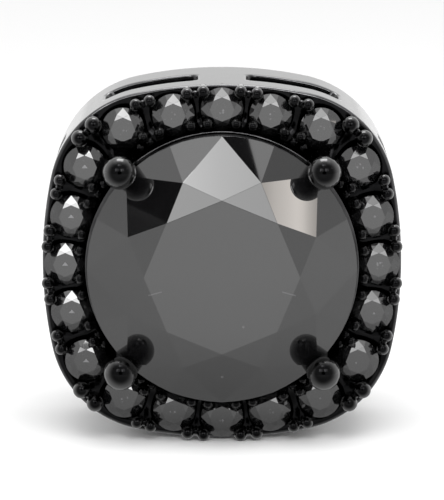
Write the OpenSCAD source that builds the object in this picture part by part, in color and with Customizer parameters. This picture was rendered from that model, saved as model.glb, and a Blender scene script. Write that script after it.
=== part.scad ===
// Magnetic stud earring: a round stone and a ring of small stones on a cushion-shaped basket,
// with one disc magnet fixed behind the basket and a second one that is held by its pull.
// The jewel is drawn lying on its back, stones towards +Z, with the basket's front rim at z = 0.
// stand_up() then stands it on one side of the basket, facing -Y. All sizes are in millimetres.

/* [Basket] */
// Width and height of the cushion-shaped basket
basket_w = 8.66; // [8.6:0.02:8.8]
// Radius of the four bowed sides
side_r = 10.14; // [9.5:0.02:12]
// Radius of the four round corners
corner_r = 2.62; // [2.4:0.02:2.8]
// Depth from the front rim to the back
basket_depth = 3.48; // [3.3:0.02:4.2]
// Thickness of the side wall
wall = 1.1; // [0.8:0.05:1.2]
// Thickness of the front plate that carries the stones
front_plate = 0.62; // [0.5:0.02:0.8]
// Thickness of the closed back plate
back_plate = 0.5; // [0.4:0.05:0.8]

/* [Windows] */
// From the middle of a side to the near end of a window
window_near = 0.6; // [0.4:0.05:0.9]
// From the middle of a side to the far end of a window
window_far = 2.85; // [2.4:0.05:2.9]
// From the front rim back to a window
window_front = 0.93; // [0.85:0.01:1.1]
// Width of a window from front to back
window_w = 1.1; // [0.8:0.05:1.2]
// Radius of a window's corners
window_r = 0.2; // [0.1:0.05:0.3]

/* [Centre stone] */
// Diameter of the round centre stone
centre_d = 6.45; // [6.3:0.05:6.5]
// Height of the stone's table above the front rim
centre_top = 2.02; // [1.9:0.01:2.1]
// Height of the gallery ring under the stone
gallery_top = 0.6; // [0.5:0.01:0.62]
// Outer diameter of the gallery ring
gallery_d = 6.56; // [6.5:0.02:6.6]

/* [Prongs] */
// Diameter of the four round prongs
prong_d = 0.8; // [0.7:0.02:0.9]
// Distance of a prong from each middle plane
prong_at = 2.42; // [2.4:0.01:2.46]
// Height of a prong's tip above the front rim
prong_top = 1.86; // [1.8:0.01:1.95]

/* [Halo] */
// Diameter of the small round stones
halo_d = 1.02; // [0.98:0.01:1.04]
// Height of their tables above the front rim
halo_top = 0.33; // [0.3:0.01:0.36]
// Distance from the jewel's axis to the stone at the middle of a side
side_out = 3.77; // [3.75:0.01:3.78]
// Distance from the axis to the stone next to it
mid_out = 3.80; // [3.78:0.01:3.82]
// Angle of that stone from the middle of the side
mid_angle = 17.8; // [17.6:0.1:18]
// Distance from the axis to the stone beside a prong
corner_out = 4.05; // [4.03:0.01:4.07]
// Angle of that stone from the middle of the side
corner_angle = 35.8; // [35.6:0.1:36]

/* [Magnets] */
// Diameter of each disc magnet
magnet_d = 6.06; // [5.8:0.02:6.2]
// Thickness of each disc magnet
magnet_t = 0.98; // [0.8:0.02:1.2]
// Radius of their rounded edges
magnet_r = 0.13; // [0.1:0.01:0.2]

/* [Hidden] */
// Gap that is left between a stone and the metal that holds it
gap = 0.02;
// Gap between two discs, and between a disc and the basket
face_gap = 0.005;

// Proportions of a round brilliant, as shares of its radius
table_share = 0.571;
star_share = 0.747;
crown_share = 0.312;
girdle_share = 0.048;
pavilion_share = 0.828;
lower_share = 0.23;
// Half the angle between two kite facets
half_kite = 22.5;

// Claws at the gap after each halo stone of a quarter: the outer pair's distance outside the
// line between the stones, half its spacing, its rod radius, its tip height, and the same
// distance for the small bead between the pair
CLAW_OUT = 0;
CLAW_HALF = 1;
CLAW_R = 2;
CLAW_TOP = 3;
CLAW_BEAD_OUT = 4;
side_claw = [0.45, 0.195, 0.14, 0.47, 0.53];
mid_claw = [0.49, 0.17, 0.14, 0.47, 0.56];
corner_claw = [0.575, 0.23, 0.2, 0.53, 0.68];
quarter_claws = [side_claw, mid_claw, corner_claw, mid_claw, side_claw];
// Inner pair and the small beads
inner_back = 0.34;
inner_half = 0.2;
inner_r = 0.105;
inner_top = 0.4;
bead_r = 0.085;
bead_top = 0.33;
// A claw's ball end is this much fatter than its rod
ball_extra = 0.008;
// Rods start this far below the front rim, inside the plate
root = 0.3;

// Straight steps that draw the round stretches of outlines
side_steps = 8;
corner_steps = 12;
window_steps = 3;
edge_steps = 4;
// Curves that stay true
smooth = 48;

half_w = basket_w / 2;
// The outline's arc centres: a side's lies this far past the middle, a corner's on a diagonal
side_centre = half_w - side_r;
arc_gap = side_r - corner_r;
corner_centre = (side_centre + sqrt(2 * arc_gap * arc_gap - side_centre * side_centre)) / 2;
// Angle, seen from a side's arc centre, at which the side turns into the corner
corner_start = atan2(corner_centre, corner_centre - side_centre);
centre_girdle = centre_top - (crown_share + girdle_share / 2) * centre_d / 2;
halo_girdle = halo_top - (crown_share + girdle_share / 2) * halo_d / 2;
magnet_back = basket_depth + 2 * magnet_t + 2 * face_gap;
middle = (magnet_back - centre_top) / 2;

function turned(p, angle) =
    [p.x * cos(angle) - p.y * sin(angle), p.x * sin(angle) + p.y * cos(angle)];

function polar(r, angle) = [r * cos(angle), r * sin(angle)];

// Outline of the basket, moved in by inset
function cushion(inset) = [
    for (turn = [0:90:270])
        each [
            for (i = [0:side_steps - 1])
                turned([side_centre, 0]
                    + polar(side_r - inset, corner_start * (2 * i / side_steps - 1)), turn),
            for (i = [0:corner_steps - 1])
                turned([corner_centre, corner_centre]
                    + polar(corner_r - inset,
                        corner_start + (90 - 2 * corner_start) * i / corner_steps), turn)
        ]
];

// Where the outline lies on a corner's arc at height y
function corner_x(y) = corner_centre + sqrt(corner_r * corner_r - pow(y - corner_centre, 2));

// Centres of the halo stones of a quarter, then of the whole ring, anticlockwise
side_spot = [side_out, 0];
mid_spot = polar(mid_out, mid_angle);
corner_spot = polar(corner_out, corner_angle);
quarter = [side_spot, mid_spot, corner_spot, [corner_spot.y, corner_spot.x], [mid_spot.y, mid_spot.x]];
halo_spots = [for (turn = [0:90:270]) for (p = quarter) turned(p, turn)];
halo_count = len(halo_spots);

function stone_name(i) = str("halo_stone_", i < 9 ? "0" : "", i + 1);

module stand_up() {
    translate([0, -middle, half_w])
        rotate([90, 0, 0])
            children();
}

// Height on the plane through three points, at the place p
function plane_z(a, b, c, p) =
    let (n = cross(b - a, c - a)) a.z - (n.x * (p.x - a.x) + n.y * (p.y - a.y)) / n.z;

// Round brilliant of 57 facets with its girdle's middle at z = 0, whose girdle has steps
// sides in each sixteenth. Kites point at 0, 45, 90 degrees and so on.
module brilliant(d, steps) {
    r = d / 2;
    g = r * girdle_share / 2;
    table_z = g + r * crown_share;
    culet_z = -g - r * pavilion_share;
    table_r = r * table_share;
    star_r = r * star_share;
    lower_r = r * lower_share;
    star_z = g + (r - star_r * cos(half_kite)) * crown_share * r / (r - table_r);
    lower_z = -g - (r - lower_r * cos(half_kite)) * pavilion_share;
    count = 16 * steps;
    at = function (radius, angle, z) [radius * cos(angle), radius * sin(angle), z];
    // The ring's points lie on the planes of the facets above or below, so it comes out scalloped
    ring = function (edge_z, apex_r, apex_z) [
        for (i = [0:count - 1])
            let (
                angle = 360 * i / count,
                from = half_kite * floor(angle / half_kite),
                to = from + half_kite,
                odd = floor(angle / half_kite) % 2 == 1,
                apex = at(apex_r, odd ? from : to, apex_z),
                p = at(r, angle, 0)
            )
            i % steps == 0
                ? at(r, angle, edge_z)
                : [p.x, p.y, plane_z(apex, at(r, from, edge_z), at(r, to, edge_z), p)]
    ];
    points = concat(
        [for (k = [0:7]) at(table_r, 45 * k, table_z)],
        [for (k = [0:7]) at(star_r, 45 * k + half_kite, star_z)],
        ring(g, star_r, star_z),
        ring(-g, lower_r, lower_z),
        [for (k = [0:7]) at(lower_r, 45 * k + half_kite, lower_z)],
        [[0, 0, culet_z]]
    );
    star = 8;
    upper = 16;
    lower = upper + count;
    low_star = lower + count;
    culet = low_star + 8;
    next = function (k) (k + 1) % 8;
    last = function (k) (k + 7) % 8;
    rim = function (j) j % count;
    faces = concat(
        [[for (k = [7:-1:0]) k]],
        [for (k = [0:7]) [next(k), star + k, k]],
        [for (k = [0:7]) [star + k, upper + 2 * steps * k, star + last(k), k]],
        [for (k = [0:7]) for (h = [0, 1])
            [star + k, for (j = [steps:-1:0]) upper + rim((2 * k + h) * steps + j)]],
        [for (j = [0:count - 1]) [upper + j, upper + rim(j + 1), lower + rim(j + 1), lower + j]],
        [for (k = [0:7]) for (h = [0, 1])
            [for (j = [0:steps]) lower + rim((2 * k + h) * steps + j), low_star + k]],
        [for (k = [0:7]) [culet, low_star + last(k), lower + 2 * steps * k, low_star + k]]
    );
    polyhedron(points, faces);
}

// Round room for a brilliant, wide enough for its sharpest edges and a gap all round
module stone_room(d) {
    r = d / 2;
    g = r * girdle_share / 2;
    table_z = g + r * crown_share;
    star_z = g + (r - r * star_share * cos(half_kite)) * crown_share / (1 - table_share);
    lower_z = -g - (r - r * lower_share * cos(half_kite)) * pavilion_share;
    culet_z = -g - r * pavilion_share;
    rotate_extrude($fn = smooth)
        polygon([
            [0, culet_z - 2 * gap],
            [r * lower_share + gap, lower_z - gap],
            [r + gap, -g - gap],
            [r + gap, g + gap],
            [r * star_share + gap, star_z + gap],
            [r * table_share + gap, table_z + gap],
            [0, table_z + gap]
        ]);
}

module window_cut() {
    near_angle = atan2(window_near, half_w);
    far_angle = atan2(window_far, corner_x(window_far));
    reach = 2 * half_w;
    size = [window_far - window_near, window_w];
    corners = [[1, 1, 0], [0, 1, 90], [0, 0, 180], [1, 0, 270]];
    outline = [
        for (c = corners)
            for (i = [0:window_steps])
                [window_near + window_r + c[0] * (size.x - 2 * window_r),
                    window_front + window_r + c[1] * (size.y - 2 * window_r)]
                    + polar(window_r, c[2] + 90 * i / window_steps)
    ];
    intersection() {
        // Seen from the side, a rounded rectangle
        translate([1, 0, 0])
            rotate([90, 0, 90])
                mirror([0, 1, 0])
                    linear_extrude(half_w)
                        polygon(outline);
        // Seen from the front, ends that run towards the jewel's axis
        translate([0, 0, -basket_depth])
            linear_extrude(basket_depth)
                polygon([[0, 0], polar(reach, near_angle), polar(reach, far_angle)]);
    }
}

module basket() {
    cavity = basket_depth - front_plate - back_plate;
    difference() {
        translate([0, 0, -basket_depth])
            linear_extrude(basket_depth)
                polygon(cushion(0));
        translate([0, 0, -front_plate - cavity])
            linear_extrude(cavity)
                polygon(cushion(wall));
        for (turn = [0:90:270])
            for (side = [0, 1])
                rotate(turn)
                    mirror([0, side, 0])
                        window_cut();
    }
}

module gallery() {
    translate([0, 0, -root])
        cylinder(h = root + gallery_top, d = gallery_d, $fn = smooth);
}

// Upright rod with a ball end
module rod(r, top) {
    ball = r + ball_extra;
    translate([0, 0, -root])
        cylinder(h = root + top - ball, r = r, $fn = smooth);
    translate([0, 0, top - ball])
        sphere(r = ball, $fn = smooth);
}

module prongs() {
    for (turn = [0:90:270])
        rotate(turn)
            translate([prong_at, prong_at, 0])
                rod(prong_d / 2, prong_top);
}

// The claws that two halo stones share, at the gap after stone i
module claws(i) {
    a = halo_spots[i];
    b = halo_spots[(i + 1) % halo_count];
    along = b - a;
    claw = quarter_claws[i % 5];
    at_corner = i % 5 == 2;
    translate((a + b) / 2)
        rotate(atan2(-along.x, along.y)) {
            for (side = [-1, 1])
                translate([claw[CLAW_OUT], side * claw[CLAW_HALF], 0])
                    rod(claw[CLAW_R], claw[CLAW_TOP]);
            translate([claw[CLAW_BEAD_OUT], 0, 0])
                rod(bead_r, bead_top);
            // A prong takes the inner pair's place at the corners
            if (!at_corner)
                for (side = [-1, 1])
                    translate([-inner_back, side * inner_half, 0])
                        rod(inner_r, inner_top);
        }
}

module setting() {
    color("dimgray")
        stand_up()
            difference() {
                union() {
                    basket();
                    gallery();
                    prongs();
                    for (i = [0:halo_count - 1])
                        claws(i);
                }
                translate([0, 0, centre_girdle])
                    stone_room(centre_d);
                for (p = halo_spots)
                    translate([p.x, p.y, halo_girdle])
                        stone_room(halo_d);
            }
}

module centre_stone() {
    color("darkslategray")
        stand_up()
            translate([0, 0, centre_girdle])
                brilliant(centre_d, 4);
}

module halo_stone(i) {
    color("slategray")
        stand_up()
            translate([halo_spots[i].x, halo_spots[i].y, halo_girdle])
                brilliant(halo_d, 2);
}

// Disc with rounded edges, its front face at z = 0 and its body behind it
module disc() {
    rim = magnet_d / 2 - magnet_r;
    front_arc = [for (i = [0:edge_steps]) [rim, -magnet_r] + polar(magnet_r, 90 - 90 * i / edge_steps)];
    back_arc = [
        for (i = [0:edge_steps]) [rim, magnet_r - magnet_t] + polar(magnet_r, -90 * i / edge_steps)
    ];
    rotate_extrude($fn = smooth)
        polygon(concat([[0, 0]], front_arc, back_arc, [[0, -magnet_t]]));
}

module front_magnet() {
    color("silver")
        stand_up()
            translate([0, 0, -basket_depth - face_gap])
                disc();
}

module back_magnet() {
    color("silver")
        stand_up()
            translate([0, 0, -basket_depth - magnet_t - 2 * face_gap])
                disc();
}

setting();
centre_stone();
for (i = [0:halo_count - 1])
    halo_stone(i);
front_magnet();
back_magnet();
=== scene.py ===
import math

import bmesh
import bpy
from mathutils import Matrix, Vector
from mathutils.geometry import delaunay_2d_cdt


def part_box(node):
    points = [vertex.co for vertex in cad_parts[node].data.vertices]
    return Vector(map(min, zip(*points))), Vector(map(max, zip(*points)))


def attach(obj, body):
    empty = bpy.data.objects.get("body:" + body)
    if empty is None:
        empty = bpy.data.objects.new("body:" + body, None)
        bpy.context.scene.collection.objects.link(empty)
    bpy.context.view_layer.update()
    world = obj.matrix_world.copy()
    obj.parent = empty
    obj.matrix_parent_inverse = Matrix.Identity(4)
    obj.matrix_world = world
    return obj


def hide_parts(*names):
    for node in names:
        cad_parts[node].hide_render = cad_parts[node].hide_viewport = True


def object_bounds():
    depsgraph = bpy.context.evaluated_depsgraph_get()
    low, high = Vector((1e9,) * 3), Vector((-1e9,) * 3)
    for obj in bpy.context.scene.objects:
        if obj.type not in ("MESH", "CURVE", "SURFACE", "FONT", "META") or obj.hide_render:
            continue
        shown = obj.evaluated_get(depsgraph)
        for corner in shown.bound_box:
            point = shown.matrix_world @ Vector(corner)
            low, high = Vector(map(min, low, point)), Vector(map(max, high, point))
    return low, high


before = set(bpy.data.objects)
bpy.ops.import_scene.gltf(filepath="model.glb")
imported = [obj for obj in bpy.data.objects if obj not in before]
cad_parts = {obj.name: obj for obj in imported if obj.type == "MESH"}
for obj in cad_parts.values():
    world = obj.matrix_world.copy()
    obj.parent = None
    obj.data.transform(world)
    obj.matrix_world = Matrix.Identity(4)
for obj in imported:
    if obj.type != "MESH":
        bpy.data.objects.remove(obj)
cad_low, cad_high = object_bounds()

# The jewel is drawn lying on its back in millimetres, as it is made at the bench: stones towards
# +Z, the basket's front rim at z = 0, the middle of the jewel on the Z axis. STAND puts it up in
# the frame, in metres, facing -Y.

MM = 0.001

# Sizes taken from the frame
setting_low, setting_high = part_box("setting")
magnet_low, magnet_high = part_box("front_magnet")
loose_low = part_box("back_magnet")[0]
HALF_W = (setting_high.x - setting_low.x) / 2 / MM
MIDDLE_Z = (setting_low.z + setting_high.z) / 2
MAGNET_R = (magnet_high.x - magnet_low.x) / 2 / MM
MAGNET_T = (magnet_high.y - magnet_low.y) / MM

# Sizes of the setting, in millimetres
PRONG_TOP = 1.86
PRONG_R = 0.4
PRONG_AT = 2.42
SIDE_R = 10.14
CORNER_R = 2.62
WALL = 1.1
FRONT_PLATE = 0.62
BACK_PLATE = 0.5
WINDOW_NEAR = 0.6
WINDOW_FAR = 2.85
WINDOW_FRONT = 0.93
WINDOW_W = 1.1
WINDOW_R = 0.2
GALLERY_R = 3.28
GALLERY_TOP = 0.6
GALLERY_FOOT = 0.04
SEAT_TOP_R = 2.93
SEAT_HOLE_R = 1.47
SEAT_EDGE = 0.02
HALO_SEAT_R = 0.45
HALO_SEAT_FOOT_R = 0.12
HALO_SEAT_DEPTH = 0.33
HALO_LIP = 0.02
HALO_LIP_DOWN = 0.03
HALO_GIRDLE = 0.159
RIM_ROUND = 0.06
BACK_ROUND = 0.12
BACK_BORDER = 0.1
RIM_BORDER = 0.02
WINDOW_ROUND = 0.05
GALLERY_ROUND = 0.02
ROOT = 0.3
BALL_EXTRA = 0.008
MAGNET_ROUND = 0.13

RIM_Y = setting_low.y + PRONG_TOP * MM
DEPTH = (setting_high.y - RIM_Y) / MM
STAND = (
    Matrix.Translation((0, RIM_Y, MIDDLE_Z))
    @ Matrix.Rotation(math.radians(90), 4, "X")
    @ Matrix.Scale(MM, 4)
)

# Arc centres of the cushion outline
SIDE_CENTRE = HALF_W - SIDE_R
ARC_GAP = SIDE_R - CORNER_R
CORNER_CENTRE = (SIDE_CENTRE + math.sqrt(2 * ARC_GAP**2 - SIDE_CENTRE**2)) / 2
SIDE_END_Y = CORNER_CENTRE * SIDE_R / ARC_GAP
DIAGONAL_Y = CORNER_CENTRE + CORNER_R / math.sqrt(2)

EARRING = "earring"
LOOSE = "loose_magnet"


def outline_x(y):
    """Where the cushion outline lies at height y, in the eighth between a side and a corner."""
    if y <= SIDE_END_Y:
        return SIDE_CENTRE + math.sqrt(SIDE_R**2 - y**2)
    return CORNER_CENTRE + math.sqrt(CORNER_R**2 - (y - CORNER_CENTRE) ** 2)


def on_outline(y, inset):
    """Point on the outline moved in by inset, on the ray from the middle through height y."""
    x = outline_x(y)
    ray = Vector((x, y)).normalized()
    if y <= SIDE_END_Y:
        centre, radius = Vector((SIDE_CENTRE, 0)), SIDE_R - inset
    else:
        centre, radius = Vector((CORNER_CENTRE, CORNER_CENTRE)), CORNER_R - inset
    along = ray.dot(centre)
    reach = along + math.sqrt(along**2 - centre.length_squared + radius**2)
    return ray * reach


def eighths(points):
    """The eight images of points that are given for the eighth above the X axis."""
    for turn in range(4):
        for mirrored in (False, True):
            yield [place_eighth(p, turn, mirrored) for p in points]


def place_eighth(point, turn, mirrored):
    """Mirrors a point in the X axis if asked, then turns it by quarters about the Z axis."""
    x, y, z = point
    if mirrored:
        y = -y
    for _ in range(turn):
        x, y = -y, x
    return (x, y, z)


HALO_NODES = [f"halo_stone_{number:02d}" for number in range(1, 21)]


def halo_spots():
    """Middle of each halo stone in the drawing, from the frame's nodes."""
    spots = []
    for node in HALO_NODES:
        low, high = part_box(node)
        spots.append(Vector(((low.x + high.x) / 2 / MM, ((low.z + high.z) / 2 - MIDDLE_Z) / MM)))
    return spots


HALO = halo_spots()


class Drawing:
    """Collects faces given by their points and joins them into one mesh."""

    def __init__(self):
        self.points = []
        self.faces = []

    def face(self, points):
        """Points that lie in one place are joined later, in mesh."""
        start = len(self.points)
        self.points.extend(points)
        self.faces.append(range(start, start + len(points)))

    def strip(self, rings, closed=True):
        """Quads between neighbouring rings that have the same number of points."""
        for a, b in zip(rings, rings[1:]):
            count = len(a)
            for i in range(count if closed else count - 1):
                j = (i + 1) % count
                self.face([a[i], a[j], b[j], b[i]])

    def fan(self, ring, middle):
        """Triangles from a closed ring to one point."""
        for i, p in enumerate(ring):
            self.face([p, ring[(i + 1) % len(ring)], middle])

    def mesh(self, name, join=1e-4):
        """The drawing as a smooth mesh; points closer than join become one."""
        made = bmesh.new()
        verts = [made.verts.new(p) for p in self.points]
        for face in self.faces:
            made.faces.new([verts[i] for i in face])
        bmesh.ops.remove_doubles(made, verts=made.verts, dist=join)
        bmesh.ops.dissolve_degenerate(made, edges=made.edges, dist=join)
        bmesh.ops.recalc_face_normals(made, faces=made.faces)
        for face in made.faces:
            face.smooth = True
        mesh = bpy.data.meshes.new(name)
        made.to_mesh(mesh)
        made.free()
        return mesh


def add_piece(name, mesh, body, material, nodes=()):
    """Stands a drawn mesh up in the frame and makes it a piece of the jewel."""
    mesh.transform(STAND)
    mesh.materials.clear()
    mesh.materials.append(material)
    piece = bpy.data.objects.new(name, mesh)
    bpy.context.scene.collection.objects.link(piece)
    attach(piece, body)
    if nodes:
        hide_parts(*nodes)
    return piece


def even_normals(piece):
    """Large flat faces keep their own normals next to small rounded edges."""
    modifier = piece.modifiers.new("even_normals", "WEIGHTED_NORMAL")
    modifier.mode = "FACE_AREA"
    modifier.weight = 50
    modifier.keep_sharp = True


# Basket

LONG_STEPS = 26
SHORT_STEPS = 8
CORNER_STEPS = 6
ROUND_STEPS = 4
SEAT_STEPS = 40

# How far each ring of the wall's points lies from its window (0) to its border (1)
WALL_SHARES = (0, 0.08, 0.3, 0.55, 0.8, 0.94, 1)
# How deep the rings inside a window lie between its two rounded edges
WINDOW_SHARES = (0.33, 0.67)


def window_outline(grow):
    """Points round a window in (y, z), starting at the middle of its near rear corner."""
    near, far = WINDOW_NEAR - grow, WINDOW_FAR + grow
    front, rear = -WINDOW_FRONT + grow, -WINDOW_FRONT - WINDOW_W - grow
    r = WINDOW_R + grow
    corners = [
        (near + r, rear + r, 180, LONG_STEPS),
        (far - r, rear + r, 270, SHORT_STEPS),
        (far - r, front - r, 0, LONG_STEPS),
        (near + r, front - r, 90, SHORT_STEPS),
    ]
    points = []
    for i, (y, z, start, steps) in enumerate(corners):
        arc = [
            (
                y + r * math.cos(math.radians(start + 90 * k / CORNER_STEPS)),
                z + r * math.sin(math.radians(start + 90 * k / CORNER_STEPS)),
            )
            for k in range(CORNER_STEPS + 1)
        ]
        points.extend(arc)
        next_y, next_z, next_start, _ = corners[(i + 1) % 4]
        to = (
            next_y + r * math.cos(math.radians(next_start)),
            next_z + r * math.sin(math.radians(next_start)),
        )
        for k in range(1, steps):
            points.extend(blend([arc[-1]], [to], k / steps))
    half = CORNER_STEPS // 2
    return points[half:] + points[:half]


def cell_outline(front, rear):
    """Points on the border of the wall's eighth, one for each point round its window."""
    count_long = LONG_STEPS + CORNER_STEPS
    count_short = SHORT_STEPS + CORNER_STEPS
    ys = [DIAGONAL_Y * k / count_long for k in range(count_long)]
    zs = [rear + (front - rear) * k / count_short for k in range(count_short)]
    points = [(y, rear) for y in ys]
    points += [(DIAGONAL_Y, z) for z in zs]
    points += [(DIAGONAL_Y - y, front) for y in ys]
    points += [(0, front + rear - z) for z in zs]
    return points


def wall_point(point, inset):
    """Bends a point (y, z) of the flat pattern onto the wall, moved in by inset."""
    flat = on_outline(min(max(point[0], 0), DIAGONAL_Y), inset)
    return (flat.x, flat.y, point[1])


def blend(a, b, share):
    """Points that lie this share of the way from list a to list b."""
    return [(p[0] + (q[0] - p[0]) * share, p[1] + (q[1] - p[1]) * share) for p, q in zip(a, b)]


def cushion_ring(inset, z):
    """The whole outline at the points that the wall's cells have on their front edge."""
    count = LONG_STEPS + CORNER_STEPS
    ys = [DIAGONAL_Y * k / count for k in range(count + 1)]
    eighth = [on_outline(y, inset) for y in ys]
    quarter = [(p.x, p.y) for p in eighth] + [(p.y, p.x) for p in reversed(eighth[1:-1])]
    ring = []
    for turn in range(4):
        for x, y in quarter:
            ring.append(place_eighth((x, y, z), turn, False))
    return ring


def round_ring(radius, z):
    """A circle with its points on the same rays as cushion_ring's."""
    ring = []
    for x, y, _ in cushion_ring(0, 0):
        length = math.hypot(x, y)
        ring.append((x * radius / length, y * radius / length, z))
    return ring


def quarter_round(radius):
    """Points of a rounded edge as (distance along the wall, distance in), from wall to face."""
    steps = [math.radians(90 * k / ROUND_STEPS) for k in range(ROUND_STEPS + 1)]
    return [(radius * (1 - math.sin(a)), radius * (1 - math.cos(a))) for a in steps]


def draw_wall(drawing):
    """The eight stretches of wall with their windows, rounded at both faces."""
    outer_cell = cell_outline(-RIM_ROUND, -DEPTH + BACK_ROUND)
    inner_cell = cell_outline(-FRONT_PLATE, -DEPTH + BACK_PLATE)
    edge = quarter_round(WINDOW_ROUND)
    rings = []
    opened = window_outline(WINDOW_ROUND)
    for share in reversed(WALL_SHARES):
        rings.append([wall_point(p, 0) for p in blend(opened, outer_cell, share)])
    for grow, down in edge[1:]:
        rings.append([wall_point(p, down) for p in window_outline(grow)])
    for share in WINDOW_SHARES:
        depth = WINDOW_ROUND + (WALL - 2 * WINDOW_ROUND) * share
        rings.append([wall_point(p, depth) for p in window_outline(0)])
    for grow, down in reversed(edge[1:]):
        rings.append([wall_point(p, WALL - down) for p in window_outline(grow)])
    for share in WALL_SHARES:
        rings.append([wall_point(p, WALL) for p in blend(opened, inner_cell, share)])
    images = zip(*[eighths(ring) for ring in rings])
    for image in images:
        drawing.strip(list(image))


def draw_front(drawing):
    """The flat front of the plate, open at the gallery and at each halo stone's seat."""
    loops = [
        cushion_ring(RIM_ROUND, 0),
        cushion_ring(RIM_ROUND + RIM_BORDER, 0),
        round_ring(GALLERY_R, 0),
    ]
    for spot in HALO:
        loops.append([
            (
                spot.x + HALO_SEAT_R * math.cos(math.tau * k / SEAT_STEPS),
                spot.y + HALO_SEAT_R * math.sin(math.tau * k / SEAT_STEPS),
                0,
            )
            for k in range(SEAT_STEPS)
        ])
    points, edges = [], []
    for loop in loops:
        start = len(points)
        points.extend(Vector(p[:2]) for p in loop)
        edges.extend((start + k, start + (k + 1) % len(loop)) for k in range(len(loop)))
    flat, _, faces, *_ = delaunay_2d_cdt(points, edges, [], 1, 1e-6)
    for face in faces:
        corners = [flat[i] for i in face]
        middle = sum(corners, Vector((0, 0))) / len(corners)
        if middle.length < GALLERY_R or any((middle - s).length < HALO_SEAT_R for s in HALO):
            continue
        drawing.face([(p.x, p.y, 0) for p in corners])
    for loop, spot in zip(loops[3:], HALO):
        cone = [
            (HALO_SEAT_R, 0),
            (HALO_SEAT_R - HALO_LIP, -HALO_LIP_DOWN),
            (HALO_SEAT_FOOT_R, -HALO_SEAT_DEPTH),
        ]
        rings = []
        for r, z in cone:
            share = r / HALO_SEAT_R
            rings.append([
                (spot.x + (p[0] - spot.x) * share, spot.y + (p[1] - spot.y) * share, z) for p in loop
            ])
        drawing.strip(rings)
        drawing.fan(rings[-1], (spot.x, spot.y, -HALO_SEAT_DEPTH))


def draw_basket():
    """The whole basket: walls, front, rounded rims, back and the gallery ring with its seat."""
    drawing = Drawing()
    draw_wall(drawing)
    draw_front(drawing)
    drawing.strip([cushion_ring(down, -along) for along, down in quarter_round(RIM_ROUND)])
    drawing.strip([cushion_ring(down, -DEPTH + along) for along, down in quarter_round(BACK_ROUND)])
    rear = cushion_ring(BACK_ROUND, -DEPTH)
    rear_inner = cushion_ring(BACK_ROUND + BACK_BORDER, -DEPTH)
    drawing.strip([rear, rear_inner])
    drawing.fan(rear_inner, (0, 0, -DEPTH))
    inside = -DEPTH + BACK_PLATE
    drawing.fan(cushion_ring(WALL, inside), (0, 0, inside))
    profile = [(GALLERY_R, 0), (GALLERY_R, GALLERY_FOOT), (GALLERY_R, GALLERY_TOP - GALLERY_ROUND)]
    profile += [
        (GALLERY_R - down, GALLERY_TOP - along) for along, down in quarter_round(GALLERY_ROUND)
    ][1:]
    lip = quarter_round(GALLERY_ROUND / 2)
    profile += [(SEAT_TOP_R + along, GALLERY_TOP - down) for along, down in lip]
    under = (SEAT_HOLE_R + SEAT_EDGE / 2, -FRONT_PLATE)
    profile += [(SEAT_HOLE_R, -FRONT_PLATE + SEAT_EDGE), under]
    drawing.strip([round_ring(r, z) for r, z in profile])
    drawing.strip([round_ring(*under), cushion_ring(WALL, -FRONT_PLATE)])
    return drawing.mesh("basket")


# Edges wear from this turn on, in degrees, and fully after this many more; the halo seats shelter
# theirs up to this far out and this far down
WORN_FROM = 6
WORN_SPAN = 12
SHELTER_OUT = 0.01
SHELTER_DOWN = 0.5


def mark_worn(mesh):
    """Marks the rounded outer edges, where the plating wears first."""
    made = bmesh.new()
    made.from_mesh(mesh)
    layer = made.verts.layers.float.new("worn")
    for vert in made.verts:
        near = min((Vector(vert.co[:2]) - spot).length for spot in HALO)
        if near < HALO_SEAT_R + SHELTER_OUT and vert.co.z > -SHELTER_DOWN:
            continue
        turn = math.degrees(max((e.calc_face_angle_signed(0) for e in vert.link_edges), default=0))
        vert[layer] = min(1, max(0, turn - WORN_FROM) / WORN_SPAN)
    made.to_mesh(mesh)
    made.free()


# Node trees

class Tree:
    """Short names for what a node tree is built from."""

    def __init__(self, tree):
        self.tree = tree

    def node(self, kind, inputs=None, **settings):
        """A new node with its settings, its inputs joined or filled in by name."""
        made = self.tree.nodes.new(kind)
        for name, value in settings.items():
            setattr(made, name, value)
        for key, value in (inputs or {}).items():
            self.join(value, made.inputs[key])
        return made

    def join(self, value, socket):
        """Links value to the socket if it comes from a node, else writes it in."""
        if isinstance(value, bpy.types.NodeSocket):
            self.tree.links.new(value, socket)
        else:
            socket.default_value = value

    def math(self, operation, a, b=0.0, c=0.0, clamp=False):
        made = self.node("ShaderNodeMath", operation=operation, use_clamp=clamp)
        self.join(a, made.inputs[0])
        self.join(b, made.inputs[1])
        self.join(c, made.inputs[2])
        return made.outputs[0]

    def named(self, name, kind="FLOAT"):
        """Reads a value that the points carry."""
        made = self.node("GeometryNodeInputNamedAttribute", data_type=kind)
        made.inputs["Name"].default_value = name
        return made.outputs["Attribute"]

    def store(self, geometry, name, value):
        """Gives the points a value to carry."""
        made = self.node("GeometryNodeStoreNamedAttribute", data_type="FLOAT", domain="POINT")
        self.join(geometry, made.inputs["Geometry"])
        made.inputs["Name"].default_value = name
        self.join(value, made.inputs["Value"])
        return made.outputs["Geometry"]


def new_group(name, kind, inputs, outputs):
    """A node group with its sockets, each (name, socket type, value or None), and its Tree."""
    tree = bpy.data.node_groups.new(name, kind)
    for direction, sockets in (("INPUT", inputs), ("OUTPUT", outputs)):
        for socket_name, socket_type, value in sockets:
            socket = tree.interface.new_socket(
                name=socket_name, in_out=direction, socket_type=socket_type
            )
            if value is not None:
                socket.default_value = value
    return tree, Tree(tree)


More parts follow.
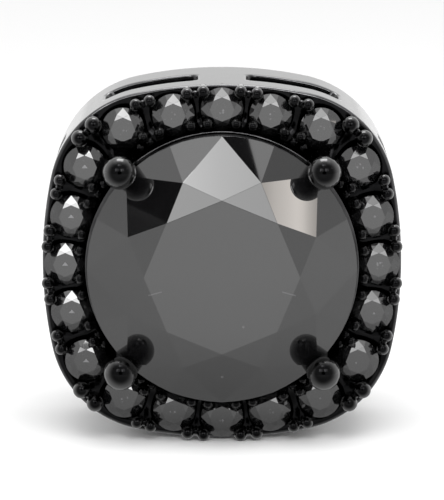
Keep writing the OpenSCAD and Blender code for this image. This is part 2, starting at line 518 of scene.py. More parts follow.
def claw_tree():
    """Claws on points: each is one turned shape, a rod with a slightly fatter ball end.

    Every point carries claw_r, the rod's radius, and claw_tip, the height of its tip.
    """
    tree, t = new_group("claws", "GeometryNodeTree", [
        ("Points", "NodeSocketGeometry", None),
        ("Root", "NodeSocketFloat", ROOT),
        ("Ball extra", "NodeSocketFloat", BALL_EXTRA),
        ("Around", "NodeSocketInt", 24),
        ("Rows", "NodeSocketInt", 14),
        ("Material", "NodeSocketMaterial", None),
    ], [("Geometry", "NodeSocketGeometry", None)])
    given = t.node("NodeGroupInput").outputs
    rows = t.math("SUBTRACT", given["Rows"], 1)
    sides = t.math("ADD", given["Around"], 1)
    grid = t.node("GeometryNodeMeshGrid", {"Size X": 1.0, "Size Y": 1.0, "Vertices X": sides,
                                           "Vertices Y": given["Rows"]})
    place = t.node("ShaderNodeSeparateXYZ", {"Vector": t.node("GeometryNodeInputPosition").outputs[0]})
    sheet = t.store(grid.outputs["Mesh"], "around", t.math("ADD", place.outputs["X"], 0.5))
    sheet = t.store(sheet, "along", t.math("ADD", place.outputs["Y"], 0.5))
    anchored = t.node("GeometryNodeStoreNamedAttribute", data_type="FLOAT_VECTOR", domain="POINT")
    t.join(given["Points"], anchored.inputs["Geometry"])
    anchored.inputs["Name"].default_value = "claw_at"
    t.join(t.node("GeometryNodeInputPosition").outputs[0], anchored.inputs["Value"])
    copies = t.node("GeometryNodeInstanceOnPoints", {"Points": anchored.outputs["Geometry"],
                                                     "Instance": sheet})
    real = t.node("GeometryNodeRealizeInstances", {"Geometry": copies.outputs["Instances"]})
    rod_r = t.named("claw_r")
    ball_r = t.math("ADD", rod_r, given["Ball extra"])
    middle = t.math("SUBTRACT", t.named("claw_tip"), ball_r)
    neck = t.math("SUBTRACT", math.pi, t.math("ARCSINE", t.math("DIVIDE", rod_r, ball_r)))
    row = t.math("MULTIPLY", t.named("along"), rows)
    edge = t.math("MINIMUM", row, 1.0)
    rise = t.math("SUBTRACT", row, 1.0, clamp=True)
    turn = t.math("DIVIDE", t.math("SUBTRACT", row, 2.0), t.math("SUBTRACT", rows, 2.0), clamp=True)
    angle = t.math("MULTIPLY", neck, t.math("SUBTRACT", 1.0, turn))
    neck_z = t.math("MULTIPLY_ADD", ball_r, t.math("COSINE", neck), middle)
    rod_z = t.math("MULTIPLY_ADD", rise, t.math("ADD", neck_z, given["Root"]),
                   t.math("MULTIPLY", given["Root"], -1.0))
    ball_z = t.math("MULTIPLY_ADD", ball_r, t.math("COSINE", angle), middle)
    on_ball = t.math("GREATER_THAN", row, 2.5)
    on_rod = t.math("SUBTRACT", 1.0, on_ball)
    radius = t.math("ADD", t.math("MULTIPLY", on_rod, t.math("MULTIPLY", rod_r, edge)),
                    t.math("MULTIPLY", on_ball, t.math("MULTIPLY", ball_r, t.math("SINE", angle))))
    height = t.math("ADD", t.math("MULTIPLY", on_rod, rod_z), t.math("MULTIPLY", on_ball, ball_z))
    sweep = t.math("MULTIPLY", t.named("around"), math.tau)
    offset = t.node("ShaderNodeCombineXYZ", {
        "X": t.math("MULTIPLY", radius, t.math("COSINE", sweep)),
        "Y": t.math("MULTIPLY", radius, t.math("SINE", sweep)),
        "Z": height,
    })
    where = t.node("ShaderNodeVectorMath", operation="ADD")
    t.join(t.named("claw_at", "FLOAT_VECTOR"), where.inputs[0])
    t.join(offset.outputs[0], where.inputs[1])
    shaped = t.node("GeometryNodeSetPosition", {"Geometry": real.outputs[0],
                                                "Position": where.outputs[0]})
    merged = t.node("GeometryNodeMergeByDistance", {"Geometry": shaped.outputs[0], "Distance": 1e-4})
    smooth = t.node("GeometryNodeSetShadeSmooth", {"Geometry": merged.outputs[0]})
    coated = t.node("GeometryNodeSetMaterial", {"Geometry": smooth.outputs[0],
                                                "Material": given["Material"]})
    t.join(coated.outputs[0], t.node("NodeGroupOutput").inputs["Geometry"])
    return tree


def stone_tree():
    """The same cut stone on every point, each tilted a little by chance."""
    tree, t = new_group("set_stones", "GeometryNodeTree", [
        ("Points", "NodeSocketGeometry", None),
        ("Stone", "NodeSocketObject", None),
        ("Tilt", "NodeSocketFloat", math.radians(1)),
        ("Seed", "NodeSocketInt", 3),
        ("Material", "NodeSocketMaterial", None),
    ], [("Geometry", "NodeSocketGeometry", None)])
    given = t.node("NodeGroupInput").outputs
    stone = t.node("GeometryNodeObjectInfo", {"Object": given["Stone"]})
    back = t.math("MULTIPLY", given["Tilt"], -1.0)
    tilt = t.node("FunctionNodeRandomValue", data_type="FLOAT_VECTOR")
    low = t.node("ShaderNodeCombineXYZ", {"X": back, "Y": back, "Z": back})
    high = t.node("ShaderNodeCombineXYZ", {"X": given["Tilt"], "Y": given["Tilt"], "Z": given["Tilt"]})
    t.join(low.outputs[0], tilt.inputs[0])
    t.join(high.outputs[0], tilt.inputs[1])
    t.join(given["Seed"], tilt.inputs["Seed"])
    copies = t.node("GeometryNodeInstanceOnPoints", {
        "Points": given["Points"], "Instance": stone.outputs["Geometry"], "Rotation": tilt.outputs[0],
    })
    real = t.node("GeometryNodeRealizeInstances", {"Geometry": copies.outputs["Instances"]})
    coated = t.node("GeometryNodeSetMaterial", {"Geometry": real.outputs[0],
                                                "Material": given["Material"]})
    t.join(coated.outputs[0], t.node("NodeGroupOutput").inputs["Geometry"])
    return tree


def points_mesh(name, rows):
    """A mesh of loose points, each row (x, y, z, claw radius, claw tip)."""
    mesh = bpy.data.meshes.new(name)
    mesh.from_pydata([row[:3] for row in rows], [], [])
    for layer, column in (("claw_r", 3), ("claw_tip", 4)):
        if len(rows[0]) > column:
            attribute = mesh.attributes.new(layer, "FLOAT", "POINT")
            attribute.data.foreach_set("value", [row[column] for row in rows])
    return mesh


def grow(name, points, tree, values):
    """Runs a Geometry Nodes tree on points and returns the result as a plain mesh."""
    holder = bpy.data.objects.new(name + "_points", points)
    bpy.context.scene.collection.objects.link(holder)
    modifier = holder.modifiers.new("grow", "NODES")
    modifier.node_group = tree
    for socket in tree.interface.items_tree:
        if socket.item_type == "SOCKET" and socket.in_out == "INPUT" and socket.name in values:
            modifier[socket.identifier] = values[socket.name]
    bpy.context.view_layer.update()
    graph = bpy.context.evaluated_depsgraph_get()
    mesh = bpy.data.meshes.new_from_object(holder.evaluated_get(graph))
    mesh.name = name
    holder.modifiers.remove(modifier)
    bpy.data.objects.remove(holder)
    bpy.data.meshes.remove(points)
    for layer in ("around", "along", "claw_at", "claw_r", "claw_tip"):
        if layer in mesh.attributes:
            mesh.attributes.remove(mesh.attributes[layer])
    return mesh


# Claws: for each gap of a quarter, how far the pair stands outside the line between the stones,
# half its spacing, its radius, the height of its tips and how far out the small bead between is
SIDE_CLAW = (0.47, 0.195, 0.145, 0.47, 0.43)
MID_CLAW = (0.49, 0.17, 0.14, 0.47, 0.46)
CORNER_CLAW = (0.575, 0.23, 0.2, 0.53, 0.55)
QUARTER = (SIDE_CLAW, MID_CLAW, CORNER_CLAW, MID_CLAW, SIDE_CLAW)

# Inner claws, two in every gap but those at the corners, where the prongs stand
INNER_BACK = 0.31
INNER_HALF = 0.2
INNER_R = 0.125
INNER_TIP = 0.45
BEAD_R = 0.085
BEAD_TIP = 0.33

# Grains on the plate beside each prong, on one ring, this many degrees from the prong
GRAIN_R = 0.1
GRAIN_TIP = 0.36
GRAIN_RING = 3.44
GRAIN_TURNS = (10.5, 15, 19.5)

# How deep the claws and the beads start in the plate
CLAW_ROOT = 0.045
BEAD_ROOT = 0.1


def halo_claws():
    """Rows for the outer claws, the inner claws and the small beads with the grains."""
    outer, inner, beads = [], [], []
    for i, a in enumerate(HALO):
        b = HALO[(i + 1) % len(HALO)]
        along = (b - a).normalized()
        out = Vector((along.y, -along.x))
        middle = (a + b) / 2
        distance, half, radius, tip, bead_out = QUARTER[i % 5]
        for side in (-1, 1):
            at = middle + out * distance + along * half * side
            outer.append((at.x, at.y, 0, radius, tip))
        at = middle + out * bead_out
        beads.append((at.x, at.y, 0, BEAD_R, BEAD_TIP))
        if QUARTER[i % 5] is not CORNER_CLAW:
            for side in (-1, 1):
                at = middle - out * INNER_BACK + along * INNER_HALF * side
                inner.append((at.x, at.y, 0, INNER_R, INNER_TIP))
    for quarter in range(4):
        for turn in GRAIN_TURNS:
            for side in (-1, 1):
                angle = math.radians(45 + 90 * quarter + side * turn)
                beads.append((GRAIN_RING * math.cos(angle), GRAIN_RING * math.sin(angle), 0, GRAIN_R,
                              GRAIN_TIP))
    return outer, inner, beads


# Stones

FACET_EDGE = 0.007
SAME_FACET = math.radians(0.4)
FACET_TURN = math.radians(8)


def cut_stone(node, edge):
    """A copy of a stone's node in the drawing, its facets whole and their edges a little worn."""
    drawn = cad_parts[node].data
    made = bmesh.new()
    made.from_mesh(drawn)
    made.transform(STAND.inverted())
    bmesh.ops.remove_doubles(made, verts=made.verts, dist=1e-4)
    bmesh.ops.dissolve_limit(made, angle_limit=SAME_FACET, verts=made.verts, edges=made.edges)
    bmesh.ops.recalc_face_normals(made, faces=made.faces)
    sharp = [e for e in made.edges if e.calc_face_angle(0) > FACET_TURN]
    bmesh.ops.bevel(made, geom=sharp, offset=edge, offset_type="WIDTH", segments=1, profile=0.5,
                    affect="EDGES", clamp_overlap=True)
    made.verts.index_update()
    mesh = bpy.data.meshes.new(node + "_cut")
    mesh.from_pydata(
        [v.co[:] for v in made.verts], [], [[v.index for v in f.verts] for f in made.faces]
    )
    made.free()
    return mesh


def halo_stones(material):
    """One stone, cut once and set at the middle of each seat."""
    first = cut_stone(HALO_NODES[0], FACET_EDGE / 2)
    first.transform(Matrix.Translation((-HALO[0].x, -HALO[0].y, -HALO_GIRDLE)))
    inside = first.attributes.new("inside", "FLOAT_VECTOR", "POINT")
    inside.data.foreach_set("vector", [c for v in first.vertices for c in v.co])
    cutter = bpy.data.objects.new("loose_stone", first)
    bpy.context.scene.collection.objects.link(cutter)
    rows = [(spot.x, spot.y, HALO_GIRDLE) for spot in HALO]
    mesh = grow("halo_stones", points_mesh("stone_points", rows), stone_tree(), {
        "Stone": cutter, "Tilt": math.radians(0.8), "Seed": 7, "Material": material,
    })
    bpy.data.objects.remove(cutter)
    return mesh


# Magnets

DISC_SIDES = 160
DISC_BORDER = 0.15


def draw_disc(name, front):
    """A disc magnet whose front face is at height front, turned from one profile."""
    rim = MAGNET_R - MAGNET_ROUND
    arc = [math.radians(90 * k / CORNER_STEPS) for k in range(CORNER_STEPS + 1)]
    profile = [(rim - DISC_BORDER, front)]
    profile += [
        (rim + MAGNET_ROUND * math.sin(a), front - MAGNET_ROUND * (1 - math.cos(a))) for a in arc
    ]
    profile += [
        (rim + MAGNET_ROUND * math.cos(a), front - MAGNET_T + MAGNET_ROUND * (1 - math.sin(a)))
        for a in arc
    ]
    profile += [(rim - DISC_BORDER, front - MAGNET_T)]
    turns = [math.tau * k / DISC_SIDES for k in range(DISC_SIDES)]
    rings = [[(r * math.cos(turn), r * math.sin(turn), z) for turn in turns] for r, z in profile]
    drawing = Drawing()
    drawing.strip(rings)
    drawing.fan(rings[0], (0, 0, front))
    drawing.fan(rings[-1], (0, 0, front - MAGNET_T))
    return drawing.mesh(name)


# Finishes

GEM_IOR = 1.925


def marks_group():
    """Fine marks of use on a polished surface: hairlines, haze and slow unevenness."""
    tree, t = new_group("fine_marks", "ShaderNodeTree", [
        ("Vector", "NodeSocketVector", None),
        ("Scale", "NodeSocketFloat", 900.0),
        ("Polish", "NodeSocketFloat", 0.1),
        ("Haze", "NodeSocketFloat", 0.05),
        ("Hairlines", "NodeSocketFloat", 0.3),
    ], [
        ("Roughness", "NodeSocketFloat", None),
        ("Height", "NodeSocketFloat", None),
        ("Tone", "NodeSocketFloat", None),
    ])
    given = t.node("NodeGroupInput").outputs
    cloud = t.node("ShaderNodeTexNoise", {"Vector": given["Vector"], "Scale": given["Scale"],
                                          "Detail": 3.0, "Roughness": 0.6})
    stretched = t.node("ShaderNodeMapping", {"Vector": given["Vector"], "Rotation": (0.4, 0.9, 0.7),
                                             "Scale": (1.0, 0.03, 1.0)})
    fine = t.node("ShaderNodeTexNoise", {"Vector": stretched.outputs[0],
                                         "Scale": t.math("MULTIPLY", given["Scale"], 12.0),
                                         "Detail": 1.0})
    line = t.math("SUBTRACT", 1.0, t.math("MULTIPLY", t.math("ABSOLUTE", t.math(
        "SUBTRACT", fine.outputs["Fac"], 0.5)), 40.0), clamp=True)
    line = t.math("MULTIPLY", line, given["Hairlines"])
    haze = t.math("MULTIPLY", t.math("SUBTRACT", cloud.outputs["Fac"], 0.5), given["Haze"])
    rough = t.math("ADD", t.math("ADD", given["Polish"], haze), t.math("MULTIPLY", line, given["Haze"]),
                   clamp=True)
    height = t.math("SUBTRACT", cloud.outputs["Fac"], line)
    made = t.node("NodeGroupOutput")
    t.join(rough, made.inputs["Roughness"])
    t.join(height, made.inputs["Height"])
    t.join(cloud.outputs["Fac"], made.inputs["Tone"])
    return tree


def flecks_group():
    """Small bright flecks, in an opaque stone's body and as painted glint dots on the small stones'
    tables.
    """
    tree, t = new_group("flecks", "ShaderNodeTree", [
        ("Vector", "NodeSocketVector", None),
        ("Scale", "NodeSocketFloat", 9000.0),
        ("Size", "NodeSocketFloat", 0.16),
        ("Share", "NodeSocketFloat", 0.1),
    ], [("Mask", "NodeSocketFloat", None)])
    given = t.node("NodeGroupInput").outputs
    cells = t.node("ShaderNodeTexVoronoi", {"Vector": given["Vector"], "Scale": given["Scale"]})
    split = t.node("ShaderNodeSeparateColor", {"Color": cells.outputs["Color"]})
    chosen = t.math("LESS_THAN", split.outputs["Red"], given["Share"])
    away = t.math("DIVIDE", cells.outputs["Distance"], given["Size"])
    near = t.math("SUBTRACT", 1.0, away, clamp=True)
    mask = t.math("MULTIPLY", chosen, near)
    t.join(mask, t.node("NodeGroupOutput").inputs["Mask"])
    return tree


def new_finish(name):
    """An empty finish: its material, its tree, its main shader and the place on the piece."""
    material = bpy.data.materials.new(name)
    material.use_nodes = True
    t = Tree(material.node_tree)
    shader = material.node_tree.nodes["Principled BSDF"]
    coords = t.node("ShaderNodeTexCoord").outputs["Object"]
    return material, t, shader, coords


def use_group(t, group, inputs):
    """A node that runs a group with these inputs."""
    made = t.node("ShaderNodeGroup", node_tree=group)
    for key, value in inputs.items():
        t.join(value, made.inputs[key])
    return made


def bumped(t, shader, height, depth):
    """Presses height into the surface, depth in metres."""
    bump = t.node("ShaderNodeBump", {"Strength": 1.0, "Distance": depth, "Height": height})
    t.join(bump.outputs[0], shader.inputs["Normal"])


def mix(t, share, a, b):
    """Colour a where share is 0, colour b where it is 1; a Mix node's colours are inputs 6 and 7."""
    made = t.node("ShaderNodeMix", data_type="RGBA")
    for value, socket in ((share, 0), (a, 6), (b, 7)):
        t.join(value, made.inputs[socket])
    return made.outputs[2]


def ramp(t, value, start, end, low, high):
    """Goes smoothly from low to high while value goes from start to end."""
    made = t.node("ShaderNodeMapRange", {"Value": value, "From Min": start, "From Max": end,
                                         "To Min": low, "To Max": high},
                  interpolation_type="SMOOTHSTEP")
    return made.outputs[0]


def black_plate_finish(marks):
    """Black plating over silver: nearly black seen straight on, greyer towards the rims."""
    material, t, shader, coords = new_finish("black_plate")
    made = use_group(t, marks, {"Vector": coords, "Scale": 2000.0, "Polish": 0.1, "Haze": 0.08,
                                "Hairlines": 0.3})
    worn = t.node("ShaderNodeAttribute", attribute_name="worn").outputs["Fac"]
    patch = t.math("MULTIPLY", worn, t.math("MULTIPLY", made.outputs["Tone"], 0.9), clamp=True)
    tone = mix(t, made.outputs["Tone"], (0.002, 0.002, 0.0022, 1), (0.014, 0.014, 0.0145, 1))
    t.join(mix(t, patch, tone, (0.16, 0.16, 0.163, 1)), shader.inputs["Base Color"])
    shader.inputs["Metallic"].default_value = 1.0
    t.join(made.outputs["Roughness"], shader.inputs["Roughness"])
    slant = t.node("ShaderNodeLayerWeight", {"Blend": 0.5}).outputs["Facing"]
    rises = ramp(t, slant, 0.1, 0.4, 0.0, 0.95)
    fades = ramp(t, slant, 0.6, 0.85, 1.0, 0.1)
    t.join(t.math("MULTIPLY", rises, fades), shader.inputs["Coat Weight"])
    shader.inputs["Coat IOR"].default_value = 1.78
    shader.inputs["Coat Roughness"].default_value = 0.14
    bumped(t, shader, made.outputs["Height"], 3e-7)
    return material


def stone_finish(name, marks, flecks, fleck_share, fleck_scale, painted_glint):
    """Opaque black gem: hard bright gloss over a nearly black body with faint flecks and a painted
    reflection.
    """
    material, t, shader, coords = new_finish(name)
    made = use_group(t, marks, {"Vector": coords, "Scale": 500.0, "Polish": 0.02, "Haze": 0.015,
                                "Hairlines": 0.05})
    mask = use_group(t, flecks, {"Vector": coords, "Scale": fleck_scale, "Share": fleck_share})
    tone = mix(t, made.outputs["Tone"], (0.002, 0.002, 0.0022, 1), (0.006, 0.006, 0.0062, 1))
    tone = mix(t, mask.outputs["Mask"], tone, (0.12, 0.12, 0.125, 1))
    # A lighter grey where the glint mask is: painted reflection seen inside the stone
    tone = mix(t, painted_glint(t, coords, flecks), tone, (0.13, 0.13, 0.135, 1))
    t.join(tone, shader.inputs["Base Color"])
    shader.inputs["IOR"].default_value = GEM_IOR
    t.join(made.outputs["Roughness"], shader.inputs["Roughness"])
    bumped(t, shader, made.outputs["Height"], 2e-8)
    return material


# Faint lines of painted reflection on the centre stone's table: place to the side and below, slope,
# half sizes, strength
SLASH_SIDE = 1.58 * MM
SLASH_BELOW = 0.38 * MM
SLASH_SLOPE = 0.28
SLASH_HALF = (0.16 * MM, 0.014 * MM)
SLASH_LIGHT = 0.3


def painted_slash_reflection(t, coords, _flecks):
    """Painted reflection: two faint slanted light lines low on the centre stone's table, one on each
    side.
    """
    place = t.node("ShaderNodeSeparateXYZ", {"Vector": coords})
    along = t.math("SUBTRACT", t.math("ABSOLUTE", place.outputs["X"]), SLASH_SIDE)
    up = t.math("SUBTRACT", place.outputs["Z"], MIDDLE_Z - SLASH_BELOW)
    off_line = t.math("MULTIPLY_ADD", along, SLASH_SLOPE, up)
    in_length = t.math("LESS_THAN", t.math("ABSOLUTE", along), SLASH_HALF[0])
    in_width = t.math("LESS_THAN", t.math("ABSOLUTE", off_line), SLASH_HALF[1])
    return t.math("MULTIPLY", t.math("MULTIPLY", in_length, in_width), SLASH_LIGHT)


# Painted reflections on the halo stones' tables, measured in millimetres from the middle of the
# girdle: a triangle between two heights, its slope, the table's height and the reach of the painted
# dots
GLINT_TOP = 0.07
GLINT_FOOT = -0.015
GLINT_SLOPE = 0.85
GLINT_ABOVE = 0.14
GLINT_REACH = 0.2
# The stones left of this have the triangle
LEFT_STONES = -2.8 * MM


def painted_table_reflection(t, coords, flecks):
    """Painted reflection under each small stone's table: a lit triangle at the left, lit dots
    elsewhere.
    """
    inside = t.node("ShaderNodeAttribute", attribute_name="inside").outputs["Vector"]
    place = t.node("ShaderNodeSeparateXYZ", {"Vector": inside})
    x, y = place.outputs["X"], place.outputs["Y"]
    half = t.math("MULTIPLY", t.math("SUBTRACT", GLINT_TOP, y), GLINT_SLOPE)
    in_width = t.math("LESS_THAN", t.math("ABSOLUTE", x), half)
    above = t.math("GREATER_THAN", y, GLINT_FOOT)
    on_table = t.math("GREATER_THAN", place.outputs["Z"], GLINT_ABOVE)
    triangle = t.math("MULTIPLY", in_width, above)
    # Painted reflection: lit dots near the middle of the tables of the stones that are not at the left
    painted_dots = use_group(t, flecks, {"Vector": coords, "Scale": 14000.0, "Size": 0.5, "Share": 0.4})
    reach = t.node("ShaderNodeVectorMath", operation="LENGTH")
    t.join(inside, reach.inputs[0])
    central = t.math("LESS_THAN", reach.outputs["Value"], GLINT_REACH)
    painted_dots = t.math("MULTIPLY", painted_dots.outputs["Mask"], central)
    row = t.node("ShaderNodeSeparateXYZ", {"Vector": coords})
    at_left = t.math("LESS_THAN", row.outputs["X"], LEFT_STONES)
    chosen = t.node("ShaderNodeMix", data_type="FLOAT")
    t.join(at_left, chosen.inputs[0])
    t.join(painted_dots, chosen.inputs[2])
    t.join(triangle, chosen.inputs[3])
    return t.math("MULTIPLY", chosen.outputs[0], on_table)


def nickel_finish(marks):
    """Nickel plate with a soft haze and fine lines round the rim."""
    material, t, shader, coords = new_finish("nickel")
    made = use_group(t, marks, {"Vector": coords, "Scale": 400.0, "Polish": 0.2, "Haze": 0.12,
                                "Hairlines": 0.3})
    turned = t.node("ShaderNodeMapping", {"Vector": coords, "Scale": (120.0, 30000.0, 120.0)})
    grain = t.node("ShaderNodeTexNoise", {"Vector": turned.outputs[0], "Scale": 1.0, "Detail": 2.0})
    t.join(mix(t, made.outputs["Tone"], (0.56, 0.56, 0.565, 1), (0.68, 0.68, 0.685, 1)),
           shader.inputs["Base Color"])
    shader.inputs["Metallic"].default_value = 1.0
    rough = t.math("MULTIPLY_ADD", t.math("SUBTRACT", grain.outputs["Fac"], 0.5), 0.1,
                   made.outputs["Roughness"])
    t.join(rough, shader.inputs["Roughness"])
    bumped(t, shader, t.math("ADD", made.outputs["Height"], grain.outputs["Fac"]), 4e-7)
    return material


# The jewel

marks = marks_group()
flecks = flecks_group()
black_plate = black_plate_finish(marks)
centre_gem = stone_finish("centre_gem", marks, flecks, 0.02, 4000.0, painted_slash_reflection)
halo_gem = stone_finish("halo_gem", marks, flecks, 0.25, 16000.0, painted_table_reflection)
nickel = nickel_finish(marks)

basket_mesh = draw_basket()
mark_worn(basket_mesh)
basket = add_piece("basket", basket_mesh, EARRING, black_plate, ["setting"])
even_normals(basket)

claws = claw_tree()
outer_rows, inner_rows, bead_rows = halo_claws()
prong_rows = [
    (PRONG_AT * sx, PRONG_AT * sy, 0, PRONG_R - BALL_EXTRA, PRONG_TOP)
    for sx in (1, -1) for sy in (1, -1)
]
for claw_name, rows, around, root in (
    ("prongs", prong_rows, 64, ROOT),
    ("outer_claws", outer_rows, 32, CLAW_ROOT),
    ("inner_claws", inner_rows, 24, BEAD_ROOT),
    ("beads", bead_rows, 24, BEAD_ROOT),
):
    claw_mesh = grow(claw_name, points_mesh(claw_name + "_rows", rows), claws, {
        "Root": root, "Around": around, "Rows": 10 + around // 4, "Material": black_plate,
    })
    add_piece(claw_name, claw_mesh, EARRING, black_plate, ["setting"])

add_piece("centre_gem", cut_stone("centre_stone", FACET_EDGE), EARRING, centre_gem,
          ["centre_stone"])
add_piece("halo_gems", halo_stones(halo_gem), EARRING, halo_gem, HALO_NODES)

front_disc = draw_disc("front_disc", (RIM_Y - magnet_low.y) / MM)
add_piece("front_disc", front_disc, EARRING, nickel, ["front_magnet"])
loose_disc = draw_disc("loose_disc", (RIM_Y - loose_low.y) / MM)
add_piece("loose_disc", loose_disc, LOOSE, nickel, ["back_magnet"])


# Studio

CENTRE = (cad_low + cad_high) / 2
CAMERA_DISTANCE = 0.086
CAMERA_RISE = math.radians(10.2)
CAMERA_LENS = 251.6
FLOOR_HALF = 1.5


def direction(azimuth, elevation):
    """Unit vector: azimuth 0 is the camera's side, positive to the right, elevation above it."""
    a, e = math.radians(azimuth), math.radians(elevation)
    return Vector((math.sin(a) * math.cos(e), -math.cos(a) * math.cos(e), math.sin(e)))


def facing(obj, azimuth, elevation, distance):
    """Puts obj in that direction from the jewel, its -Z side towards it."""
    away = direction(azimuth, elevation)
    obj.location = CENTRE + away * distance
    obj.rotation_mode = "QUATERNION"
    obj.rotation_quaternion = away.to_track_quat("Z", "Y")
    bpy.context.scene.collection.objects.link(obj)
    return obj


def only_reflected(obj):
    """The jewel's polished faces see it; the camera and the floor don't."""
    obj.visible_camera = False
    obj.visible_diffuse = False
    obj.visible_shadow = False
    obj.visible_transmission = False


def glow_finish():
    """A lit card whose brightness is drawn on it."""
    material = bpy.data.materials.new("lit_card")
    material.use_nodes = True
    t = Tree(material.node_tree)
    material.node_tree.nodes.remove(material.node_tree.nodes["Principled BSDF"])
    glow = t.node("ShaderNodeAttribute", attribute_name="glow").outputs["Color"]
    light = t.node("ShaderNodeEmission", {"Color": glow, "Strength": 1.0})
    output = material.node_tree.nodes["Material Output"]
    material.node_tree.links.new(light.outputs[0], output.inputs["Surface"])
    material.cycles.emission_sampling = "NONE"
    return material


def panel(name, azimuth, elevation, roll, low, high, stops, tint=(1, 1, 1)):
    """A card in one direction, seen only in reflections, in millimetres from the line to it.

    It reaches from low to high across its roll and has one column for each stop (place, glow).
    """
    points = [(x * MM, y * MM, 0) for x, _ in stops for y in (low, high)]
    faces = [(2 * i, 2 * i + 2, 2 * i + 3, 2 * i + 1) for i in range(len(stops) - 1)]
    mesh = bpy.data.meshes.new(name)
    mesh.from_pydata(points, [], faces)
    glow = mesh.color_attributes.new("glow", "FLOAT_COLOR", "POINT")
    for i, (_, level) in enumerate(stops):
        for k in (2 * i, 2 * i + 1):
            glow.data[k].color = (level * tint[0], level * tint[1], level * tint[2], 1)
    mesh.materials.append(lit_card)
    card = facing(bpy.data.objects.new(name, mesh), azimuth, elevation, CARD_DISTANCE)
    turn = Matrix.Rotation(math.radians(roll), 3, "Z").to_quaternion()
    card.rotation_quaternion = card.rotation_quaternion @ turn
    only_reflected(card)


def lay_floor():
    """A wide pale floor that the lamps burn out to white, as in the photo."""
    mesh = bpy.data.meshes.new("floor")
    s = FLOOR_HALF
    mesh.from_pydata([(-s, -s, 0), (s, -s, 0), (s, s, 0), (-s, s, 0)], [], [(0, 1, 2, 3)])
    floor = bpy.data.objects.new("floor", mesh)
    bpy.context.scene.collection.objects.link(floor)
    material = bpy.data.materials.new("pale_floor")
    material.use_nodes = True
    shader = material.node_tree.nodes["Principled BSDF"]
    shader.inputs["Base Color"].default_value = (0.8, 0.8, 0.8, 1)
    shader.inputs["Roughness"].default_value = 0.9
    shader.inputs["Specular IOR Level"].default_value = 0.1
    mesh.materials.append(material)


# The floor as the stones see it, with painted shadow low near the jewel's foot: (millimetres from
# the jewel's foot, glow), then how much it gains to the front and loses to the left from the given
# distance on, as painted light and painted shade
FLOOR_GLOW = (
    (0, 0.3), (3, 0.48), (3.8, 0.56), (6, 0.8), (11, 0.87), (18, 0.95), (27, 1.03), (60, 1.1),
    (300, 1.1),
)
FLOOR_GAIN = 0.38
FLOOR_LOSS = 0.17
FLOOR_FULL = 18
FLOOR_LIFT = 0.02 * MM
FLOOR_SECTORS = 48


def floor_card():
    """What the facets below the table see: the floor, with painted shadow darker towards the jewel's
    foot.
    """
    sectors = FLOOR_SECTORS
    points, levels = [], []
    for reach, level in FLOOR_GLOW:
        for k in range(sectors):
            turn = math.tau * k / sectors
            in_front = max(0, math.cos(turn)) ** 2
            at_left = max(0, -math.sin(turn))
            share = min(1, reach / FLOOR_FULL)
            points.append((reach * MM * math.sin(turn), -reach * MM * math.cos(turn), FLOOR_LIFT))
            levels.append(level * (1 + share * (FLOOR_GAIN * in_front - FLOOR_LOSS * at_left)))
    faces = [
        (a * sectors + k, a * sectors + (k + 1) % sectors, (a + 1) * sectors + (k + 1) % sectors,
         (a + 1) * sectors + k)
        for a in range(len(FLOOR_GLOW) - 1) for k in range(sectors)
    ]
    mesh = bpy.data.meshes.new("floor_card")
    mesh.from_pydata(points, [], faces[sectors:] + [tuple(range(sectors, 2 * sectors))])
    glow = mesh.color_attributes.new("glow", "FLOAT_COLOR", "POINT")
    for place, level in zip(glow.data, levels):
        place.color = (level, level, level, 1)
    mesh.materials.append(lit_card)
    card = bpy.data.objects.new("floor_card", mesh)
    bpy.context.scene.collection.objects.link(card)
    only_reflected(card)


ROOM_LEVEL = 0.92
# What the room gains along an axis: (axis, from, to, how much)
ROOM_GAINS = (("Y", 0.0, 0.7, 0.08), ("Z", 0.8, 0.95, 0.7))


def light_room():
    """Even pale surroundings, a little brighter behind the jewel and much brighter overhead."""
    world = bpy.data.worlds.new("studio")
    bpy.context.scene.world = world
    world.use_nodes = True
    t = Tree(world.node_tree)
    background = world.node_tree.nodes["Background"]
    coords = t.node("ShaderNodeTexCoord").outputs["Generated"]
    where = t.node("ShaderNodeSeparateXYZ", {"Vector": coords})
    level = ROOM_LEVEL
    for axis, start, end, more in ROOM_GAINS:
        level = t.math("ADD", level, ramp(t, where.outputs[axis], start, end, 0.0, more))
    t.join(level, background.inputs["Strength"])
    background.inputs["Color"].default_value = (1, 1, 1, 1)


LAMP_DISTANCE = 0.07
LAMP_SIZE = 0.05


def soft_lamp(name, azimuth, elevation, brightness):
    """Square lamp for the floor and for matt parts; its power follows from its size."""
    lamp = bpy.data.lights.new(name, "AREA")
    lamp.shape = "SQUARE"
    lamp.size = LAMP_SIZE
    lamp.energy = brightness * math.pi * LAMP_SIZE**2
    light = facing(bpy.data.objects.new(name, lamp), azimuth, elevation, LAMP_DISTANCE)
    light.visible_camera = False
    light.visible_glossy = False


CARD_DISTANCE = 0.05
CREAM = (1, 0.942, 0.887)
lit_card = glow_finish()
lay_floor()
light_room()
soft_lamp("front_lamp", 6, 52, 3.6)
soft_lamp("left_lamp", -84, 22, 2.8)
soft_lamp("right_lamp", 84, 22, 2.8)
floor_card()

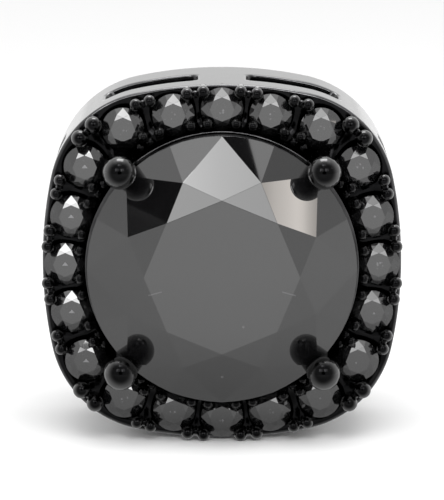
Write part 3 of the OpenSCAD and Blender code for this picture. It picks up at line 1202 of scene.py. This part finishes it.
# Each card lies where some of the stones' facets look from the camera's side, and its stops give
# the greys that the photo has across them. The last one is the dark of the camera itself
STARS = [(-9, 8), (-3.2, 8), (-2.3, 3.4), (2, 3.1), (4, 3.8), (9, 3.8)]
TOP_STARS = [(-9, 9), (-4.4, 7.5), (-2.5, 6.2), (0, 5.3), (2.5, 4.6), (4.4, 4.2), (9, 3.8)]
for card in (
    ("over_card", 0, 63.1, 0, -5.9, 3.0,
     [(-9, 10.7), (-5, 10.3), (-3.7, 8), (-1.6, 5.4), (0, 4.5), (1.5, 4.0), (3.7, 3.8), (6, 2.9),
      (9, 2.2)]),
    ("spark_card", 180, 77, 0, -12, 10, [(-12, 6), (12, 6)]),
    ("right_star_card", 19, 29.7, 0, -8, 1.2, STARS),
    ("left_star_card", -19, 29.7, 0, -8, 1.2, STARS),
    ("right_top_card", 19, 29.7, 0, 1.2, 6, TOP_STARS),
    ("left_top_card", -19, 29.7, 0, 1.2, 6, TOP_STARS),
    ("cream_card", 61.4, 33.3, -25.3, -3.4, 1.4,
     [(-3.6, 3.0), (-2.9, 3.4), (-2.5, 4.4), (-2.1, 5.0), (-1.7, 5.7), (-1.5, 5.4), (-1.25, 4.1),
      (-0.97, 3.0), (-0.5, 2.6)], CREAM),
    ("dark_left_card", -61.4, 33.3, 90, -3.9, -0.2,
     [(-2.6, 0.03), (-1.0, 0.06), (-0.64, 0.1), (-0.6, 0), (1.6, 0)]),
    ("wedge_card", 43.3, 70.8, -18, -3.4, -0.6, [(-2.5, 0), (-0.92, 0), (-0.9, 1.65), (0.4, 1.65)]),
    ("high_left_card", -43.3, 70.8, 0, -3, 0, [(0.2, 1.9), (2.6, 1.9)]),
    ("upper_56_card", 71.2, 48.8, 0, -1.6, 1.2, [(-4, 0.6), (-1.1, 0.6)]),
    ("upper_34_card", 79.8, 24.4, 0, -1, 1.9, [(-3.8, 0.75), (-1.6, 0.75)]),
    ("upper_11_card", 84.5, 0.9, 0, -0.9, 1.9, [(-4, 1.03), (-1.8, 1.03)]),
    ("upper_124_card", -71.2, 48.8, 0, -1.6, 1.2, [(1.1, 1.05), (4, 1.05)]),
    ("upper_146_card", -79.8, 24.4, 0, -1, 1.9, [(1.6, 0.79), (3.8, 0.79)]),
    ("camera_card", 0, 10, 0, -8, 9, [(-10, 0), (10, 0)]),
):
    panel(*card)

lens = bpy.data.cameras.new("camera")
lens.lens = CAMERA_LENS
lens.sensor_width = 36
lens.clip_start = 0.005
lens.clip_end = 10
camera = bpy.data.objects.new("camera", lens)
away = direction(0, math.degrees(CAMERA_RISE))
camera.location = CENTRE + away * CAMERA_DISTANCE
camera.rotation_mode = "QUATERNION"
camera.rotation_quaternion = away.to_track_quat("Z", "Y")
bpy.context.scene.collection.objects.link(camera)
bpy.context.scene.camera = camera
bpy.context.scene.view_settings.view_transform = "Standard"
